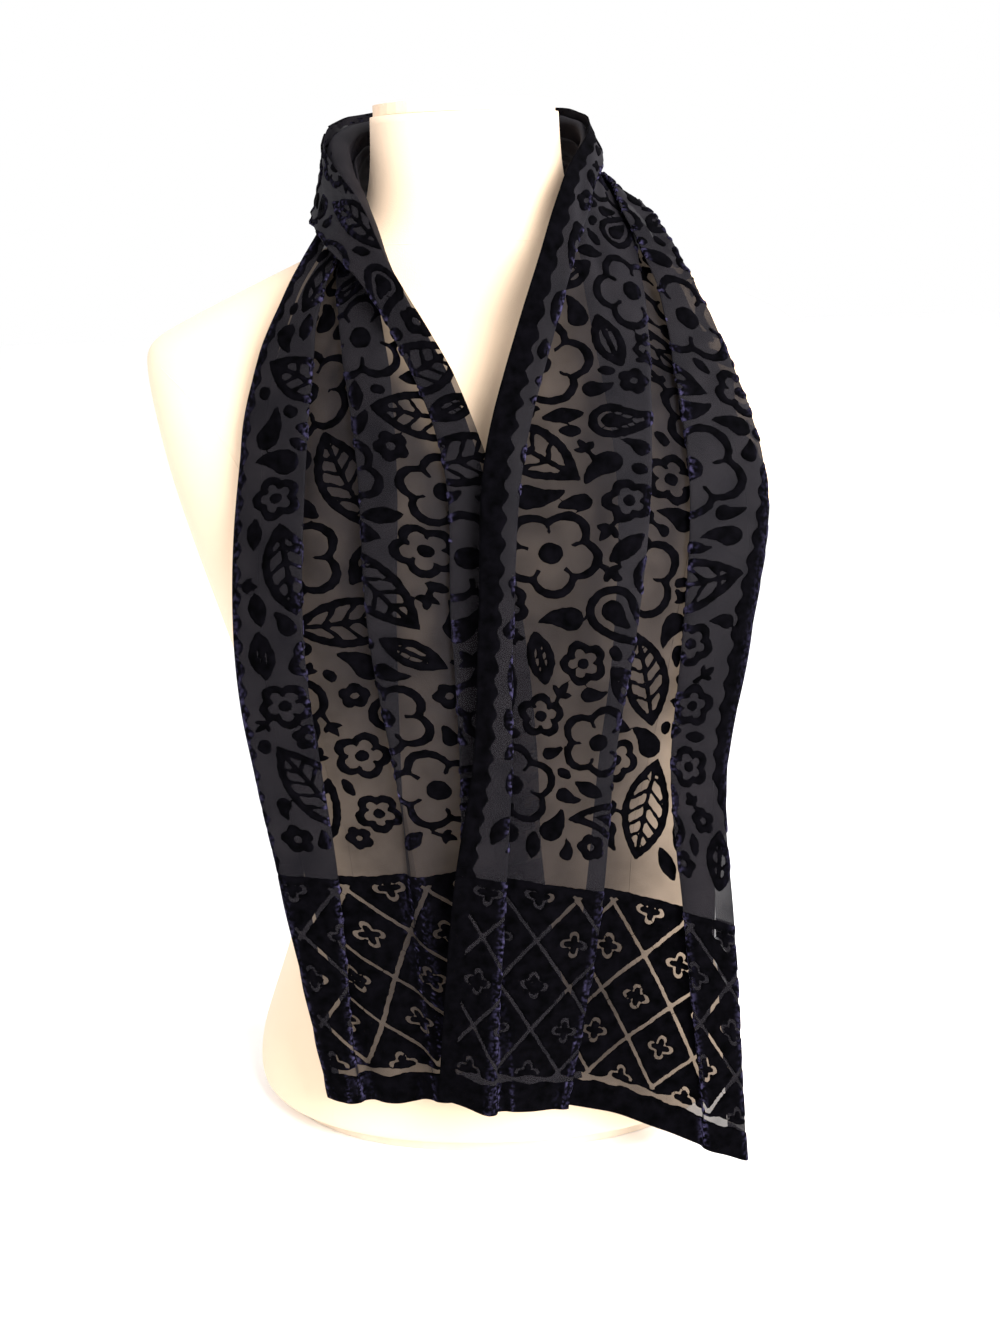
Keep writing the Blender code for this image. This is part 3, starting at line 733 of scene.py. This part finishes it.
for motif, size, tries, gap, clear_of_hem in SIZES:
    for _ in range(tries):
        cu = dice.uniform(0, WIDTH * 1000 - FAR_EDGE_CLEAR)
        cv = dice.uniform(clear_of_hem, LENGTH * 1000 - clear_of_hem)
        turn, grow = dice.uniform(0, 2 * math.pi), dice.uniform(*VARIES)
        reach = size * grow * LOOKED_AT + MARGIN
        iu = slice(max(0, int((cu - reach) / PITCH)), int((cu + reach) / PITCH) + 2)
        iv = slice(max(0, int((cv - reach) / PITCH)), int((cv + reach) / PITCH) + 2)
        x, y = uu[iv, iu] - cu, vv[iv, iu] - cv
        x, y = x * math.cos(turn) + y * math.sin(turn), y * math.cos(turn) - x * math.sin(turn)
        body, drawn = motif(x, y, size * grow)
        if (np.minimum(body + gap, bodies[iv, iu] + gap * OLD_GAP) > 0).any():
            continue
        bodies[iv, iu] = np.maximum(bodies[iv, iu], body)
        ink[iv, iu] = np.maximum(ink[iv, iu], drawn)
        kept[motif.__name__] = kept.get(motif.__name__, 0) + 1
print("motifs", kept)

# %% [markdown]
# At each end a deep border is left almost solid. A trellis of thin sheer lines crosses it, with a small
# four-petalled flower opened up in each lozenge. Two slanting counts, p and q, place both.

# %% The trellis and its flowers
LOZENGE_WIDE, LOZENGE_HIGH, TRELLIS_START = 46.0, 58.0, 26  # in mm
SHEER_LINE = 1.15  # half of a line's width, in mm
FLOWER, FLOWER_WAIST = 8.8, 0.45  # its reach in mm, and the share of it that is left between two petals
FLOWER_LINE, FLOWER_INSET = 1.25, 1.2  # half of its line's width, and how far in the line runs, in mm
middle_u, up_border = uu - 500 * WIDTH, from_hem - TRELLIS_START
p = middle_u / LOZENGE_WIDE + up_border / LOZENGE_HIGH
q = middle_u / LOZENGE_WIDE - up_border / LOZENGE_HIGH
line_scale = 1 / math.hypot(1 / LOZENGE_WIDE, 1 / LOZENGE_HIGH)
trellis = SHEER_LINE - np.minimum(np.abs(p - np.round(p)), np.abs(q - np.round(q))) * line_scale
cp, cq = p - np.floor(p) - 0.5, q - np.floor(q) - 0.5
fx, fy = (cp + cq) / 2 * LOZENGE_WIDE, (cp - cq) / 2 * LOZENGE_HIGH
fr, fa = np.hypot(fx, fy), np.arctan2(fy, fx)
flower = FLOWER * (FLOWER_WAIST + (1 - FLOWER_WAIST) * np.abs(np.cos(2 * fa))) - fr
cut = np.maximum(trellis, FLOWER_LINE - np.abs(flower - FLOWER_INSET))
print("trellis opens", round(float((cut[from_hem < BORDER] > 0).mean()), 3), "of the border")

# %% [markdown]
# The trellis stops short of the border's top, and of a wavy sheer stripe that runs above the solid hem.
# Last, all outlines are made to stray a little, as they do where a paste is pushed through a screen.

# %% The borders
HEM_BAND, STRIPE_UP = 19.0, 2.5  # the solid hem, and from it to the middle of the sheer stripe, in mm
STRIPE, STRIPE_WAVE, WAVE_LENGTH = 2.2, 0.8, 21  # half of the stripe, and the wave of its edges, in mm
ABOVE_STRIPE, BELOW_TOP = 6, 5  # how far the trellis keeps from the hem and from the border's top, in mm
SOLID, JOIN = 50.0, 3  # well inside the velvet, and how far above its top the border is still drawn, in mm
WOBBLE = 0.35  # how far a drawn outline strays, in mm
cut = np.minimum(cut, from_hem - HEM_BAND - ABOVE_STRIPE)
cut = np.minimum(cut, BORDER - BELOW_TOP - from_hem)
stripe = STRIPE + STRIPE_WAVE * np.sin(uu * 2 * np.pi / WAVE_LENGTH) - np.abs(from_hem - HEM_BAND - STRIPE_UP)
cut = np.minimum(np.maximum(cut, stripe), -into_edge)
border = np.minimum(np.minimum(BORDER - from_hem, -cut), SOLID)
above = np.where(from_hem > BORDER, ink, EMPTY)
ink = np.where(from_hem < BORDER + JOIN, np.maximum(border, above), ink)
ink += WOBBLE * np.sin(0.83 * uu + 1.9 * np.sin(0.29 * vv)) * np.sin(0.71 * vv + 2.3 * np.sin(0.23 * uu))
print("velvet covers", round(float((ink > 0).mean()), 3), "of the cloth; of the middle",
      round(float((ink[from_hem > PLAIN] > 0).mean()), 3))

# %% [markdown]
# The cloth's pieces are built from points worked out above, which no primitive has. One helper makes a
# mesh of them, and another saves a few lines for each sum in a finish.

# %% Helpers for cloth and for sums of nodes
def cloth_piece(name, points, faces, finish):
    """A smooth piece of cloth from its points and faces."""
    mesh = bpy.data.meshes.new(name)
    mesh.from_pydata(points, [], faces)
    mesh.shade_smooth()
    mesh.validate()
    return place_piece(name, mesh, finish)


def add_math(tree, operation, first, second):
    """A Math node on two inputs, each a number or a socket."""
    node = tree.nodes.new("ShaderNodeMath")
    node.operation = operation
    for value, socket in zip((first, second), node.inputs):
        if isinstance(value, float):
            socket.default_value = value
        else:
            tree.links.new(value, socket)
    return node.outputs["Value"]


# %% [markdown]
# The sheer ground is dark and thin. Its finish lets about a fifth of the light straight through each
# layer, so where the pleats lie over each other they darken by themselves. Light that meets it at a
# slant passes more threads, so it looks denser where it turns round a fold. Only about a hundredth of
# the light would get through three layers, so the third is made opaque.

# %% The sheer finish
LET_THROUGH, PATCHY = 0.10, 0.22  # the least share let straight through, and how much more at most
STEEPEST = 0.12  # the least cosine, so that nothing is divided by zero
LAYERS_THROUGH = 1.5  # a layer with more layers than this in front of it is opaque

sheer = cloth_finish(
    "sheer ground", (0.006, 0.0055, 0.007), (0.013, 0.0115, 0.0135), roughness=0.6,
    loops=2600, patch=40, bump=0.00004, shine=0.03, sheen=0.013, tint=(0.60, 0.58, 0.82), fuzz=0.4,
)
tree = sheer.node_tree
slant = tree.nodes.new("ShaderNodeLayerWeight")
cosine = add_math(tree, "MAXIMUM", add_math(tree, "SUBTRACT", 1.0, slant.outputs["Facing"]), STEEPEST)
light_path = tree.nodes.new("ShaderNodeLightPath")
still_seen = add_math(tree, "LESS_THAN", light_path.outputs["Transparent Depth"], LAYERS_THROUGH)
weave = next(node for node in tree.nodes if node.type == "GROUP")
straight = add_math(tree, "ADD", add_math(tree, "MULTIPLY", weave.outputs["Blotch"], PATCHY), LET_THROUGH)
passed = add_math(tree, "POWER", straight, add_math(tree, "DIVIDE", 1.0, cosine))
passed = add_math(tree, "MULTIPLY", passed, still_seen)
tree.links.new(add_math(tree, "SUBTRACT", 1.0, passed), tree.nodes["Principled BSDF"].inputs["Alpha"])
print("a layer passes", LET_THROUGH, "to", round(LET_THROUGH + PATCHY, 2), "of what meets it squarely")

# %% [markdown]
# The ground is one open sheet and stands for all three solids of the scarf. A wall would double every
# layer.

# %% The sheer ground
rows, cols = cloth.shape[:2]
index = np.arange(rows * cols).reshape(rows, cols)
quads = np.stack([index[:-1, :-1], index[1:, :-1], index[1:, 1:], index[:-1, 1:]], -1).reshape(-1, 4)
ground = cloth_piece("scarf_ground", cloth.reshape(-1, 3).tolist(), quads.tolist(), sheer)
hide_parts("scarf_left_fall", "scarf_nape", "scarf_right_fall")
print("ground triangles", 2 * len(quads))

# %% [markdown]
# Pile could be hair, but hair this short is millions of strands and is lost when the part is shared.
# Here it is a low solid with a rounded edge. Its points are found on the flat cut and then carried over
# to the worn cloth, which this helper does.

# %% From the flat cut to the worn cloth
STILL_INSIDE = 0.000001  # keeps the last point just inside the last row
SAME_ROW = 1e-9  # points whose places along differ by less than this are in one row


def on_cloth(u, v):
    """Points and normals of the cloth, and how much highlight is painted on its pile, at places on the flat
    cut in metres.
    """
    place = np.clip(v / LENGTH * (rows - 1), 0, rows - 1 - STILL_INSIDE)
    i = place.astype(int)
    f = (place - i)[:, None]
    points, outward, highlight_share = np.empty((len(u), 3)), np.empty((len(u), 3)), np.empty((len(u), 1))
    order = np.lexsort((u, v))
    starts = np.flatnonzero(np.r_[True, np.diff(v[order]) > SAME_ROW, True])
    for a, b in zip(starts[:-1], starts[1:]):
        group = order[a:b]
        k, g = i[group[0]], f[group[0]]
        line = flat_u[k] * (1 - g) + flat_u[k + 1] * g
        j = np.clip(np.searchsorted(line, u[group], side="right") - 1, 0, cols - 2)
        h = ((u[group] - line[j]) / np.maximum(line[j + 1] - line[j], 1e-9))[:, None]
        # the painted highlight is carried along with the points and normals
        for source, target in ((cloth, points), (normals, outward), (fold_highlight[..., None], highlight_share)):
            low = source[k][j] * (1 - h) + source[k][j + 1] * h
            high = source[k + 1][j] * (1 - h) + source[k + 1][j + 1] * h
            target[group] = low * (1 - g) + high * g
    outward /= np.linalg.norm(outward, axis=1, keepdims=True)
    return points, outward, highlight_share[:, 0]


# %% [markdown]
# Each small square of the lattice is walked round. Its corners that are velvet are taken, and where the
# pattern crosses zero along a side, a point is put at the crossing, so that curves come out smooth.

# %% The drawing's outline on the lattice
NEAREST = 0.04  # a crossing keeps this share of a side from its corners, so that no face is a sliver


def cut_lattice(first, last):
    """The velvet between two lattice rows: flat places, depths inside the edge, and faces."""
    field = ink[first : last + 1]
    n_v, n_u = field.shape
    grid = np.arange(n_v * n_u).reshape(n_v, n_u)
    u_of, v_of = uu[first : last + 1].ravel(), vv[first : last + 1].ravel()
    depth = field.ravel()
    corners = np.stack([grid[:-1, :-1], grid[1:, :-1], grid[1:, 1:], grid[:-1, 1:]], -1).reshape(-1, 4)
    inside = depth[corners] > 0
    code = inside @ np.array([1, 2, 4, 8])
    sides = np.stack([corners, np.roll(corners, -1, axis=1)], -1)
    keys = np.sort(sides, axis=-1)
    keys = keys[..., 0] * depth.size + keys[..., 1]
    crossed = inside != np.roll(inside, -1, axis=1)
    found = np.unique(keys[crossed])
    a, b = found // depth.size, found % depth.size
    t = np.clip(depth[a] / (depth[a] - depth[b]), NEAREST, 1 - NEAREST)
    all_u = np.concatenate([u_of, u_of[a] + (u_of[b] - u_of[a]) * t])
    all_v = np.concatenate([v_of, v_of[a] + (v_of[b] - v_of[a]) * t])
    all_d = np.concatenate([depth, np.zeros(len(found))])
    faces = []
    for case in range(1, 16):
        chosen = np.flatnonzero(code == case)
        if not len(chosen):
            continue
        walk = []
        for k in range(4):
            now, after = case >> k & 1, case >> ((k + 1) % 4) & 1
            if now:
                walk.append(corners[chosen, k])
            if now != after:
                walk.append(depth.size + np.searchsorted(found, keys[chosen, k]))
        faces += np.stack(walk, 1).tolist()
    return all_u, all_v, all_d, faces


# %% [markdown]
# The faces are lifted off the cloth to the pile's height, and less near an edge, which rounds it. A
# copy a hair above the cloth closes it below, and a skirt round every edge joins the two.

# %% The shape of the pile
PILE_HEIGHT, PILE_EDGE = 0.00085, 0.00022  # off the cloth, where it is full and at its edge
PILE_FOOT = 0.00006  # off the cloth, on its underside
PILE_SOFT = 1.5  # how far in from the edge the pile has its full height, in mm


def make_pile(name, first, last, finish):
    """The pile on one stretch of the scarf, from one lattice row to another."""
    all_u, all_v, all_d, faces = cut_lattice(first, last)
    used = np.unique(np.concatenate([np.array(f) for f in faces]))
    number = np.full(len(all_u), -1)
    number[used] = np.arange(len(used))
    points, outward, highlight_share = on_cloth(all_u[used] / 1000, all_v[used] / 1000)
    rise = np.sqrt(np.clip(1 - (1 - np.clip(all_d[used] / PILE_SOFT, 0, 1)) ** 2, 0, 1))
    top = points + outward * (PILE_EDGE + (PILE_HEIGHT - PILE_EDGE) * rise)[:, None]
    foot = points + outward * PILE_FOOT
    mesh_faces = [[int(number[k]) for k in face] for face in faces]
    under = [[k + len(used) for k in reversed(face)] for face in mesh_faces]
    edges = {}
    for face in mesh_faces:
        for start, end in zip(face, face[1:] + face[:1]):
            if (end, start) in edges:
                del edges[(end, start)]
            else:
                edges[(start, end)] = True
    skirt = [[e, s, s + len(used), e + len(used)] for s, e in edges]
    faces = mesh_faces + under + skirt
    piece = cloth_piece(name, np.vstack([top, foot]).tolist(), faces, finish)
    # each point carries how strongly the fold highlight is painted on the pile there
    painted_highlight = piece.data.attributes.new("painted_highlight", "FLOAT", "POINT")
    painted_highlight.data.foreach_set("value", np.concatenate([highlight_share, highlight_share]).astype(np.float32))
    print(name, "triangles", sum(len(p.vertices) - 2 for p in piece.data.polygons))
    return piece


# %% [markdown]
# Velvet is darkest where it faces the eye and brightens at grazing angles, because there the sides of
# the pile show. That is what sheen does, and here it is tinted indigo. Where the cloth turns sharply, a
# highlight is painted into the pile's colour: the mesh carries how strong it is, and noise breaks that
# up, so that the ridge of a fold looks ragged.

# %% The velvet
HIGHLIGHT_SCALE = 420.0  # how fine the noise is
HIGHLIGHT_START, HIGHLIGHT_FULL = 0.46, 0.66  # where in the noise the painted highlight starts, and where it is full
# the indigo of the highlight painted on the folds
HIGHLIGHT_COLOUR = (0.060, 0.052, 0.112, 1)

velvet = cloth_finish(
    "velvet pile", (0.0003, 0.0003, 0.0004), (0.0017, 0.0015, 0.0023), roughness=0.9,
    loops=2200, patch=170, bump=0.00025, shine=0.01, sheen=0.012, tint=(0.66, 0.62, 0.92), fuzz=0.15,
)
tree = velvet.node_tree
highlight_share = tree.nodes.new("ShaderNodeAttribute")
highlight_share.attribute_name = "painted_highlight"
highlight_noise = tree.nodes.new("ShaderNodeTexNoise")
highlight_noise.inputs["Scale"].default_value = HIGHLIGHT_SCALE
highlight_noise.inputs["Detail"].default_value = 3.0
where = tree.nodes.new("ShaderNodeTexCoord")
highlight_range = tree.nodes.new("ShaderNodeMapRange")
highlight_range.inputs["From Min"].default_value = HIGHLIGHT_START
highlight_range.inputs["From Max"].default_value = HIGHLIGHT_FULL
lit = tree.nodes.new("ShaderNodeMixRGB")
lit.inputs["Color2"].default_value = HIGHLIGHT_COLOUR
shader = tree.nodes["Principled BSDF"]
tones = shader.inputs["Base Color"].links[0].from_socket
tree.links.new(where.outputs["Object"], highlight_noise.inputs["Vector"])
tree.links.new(highlight_noise.outputs["Fac"], highlight_range.inputs["Value"])
# the painted highlight, mixed into the pile's colour where the sheet bends sharply
amount = add_math(tree, "MULTIPLY", highlight_range.outputs["Result"], highlight_share.outputs["Fac"])
tree.links.new(amount, lit.inputs["Fac"])
tree.links.new(tones, lit.inputs["Color1"])
tree.links.new(lit.outputs["Color"], shader.inputs["Base Color"])
print("velvet finish", velvet.name)

# %% [markdown]
# The pile is made in five stretches, so that none is too heavy to share. Each starts on the row of the
# lattice where the one before ends.

# %% The pile
CUT_ABOVE = 6  # how far above a border's top its pile is cut from the rest, in mm
border_rows = round((BORDER + CUT_ABOVE) / PITCH)
nape_starts, nape_ends = (round(ALONG[side] * 1000 / PITCH) for side in ("left neck side", "right neck side"))
last_row = count_v - 1
CUTS = [
    # piece, first and last row of the lattice
    ("pile_left_border", 0, border_rows),
    ("pile_left_field", border_rows, nape_starts),
    ("pile_nape", nape_starts, nape_ends),
    ("pile_right_field", nape_ends, last_row - border_rows),
    ("pile_right_border", last_row - border_rows, last_row),
]
pile = [make_pile(name, first, last, velvet) for name, first, last in CUTS]
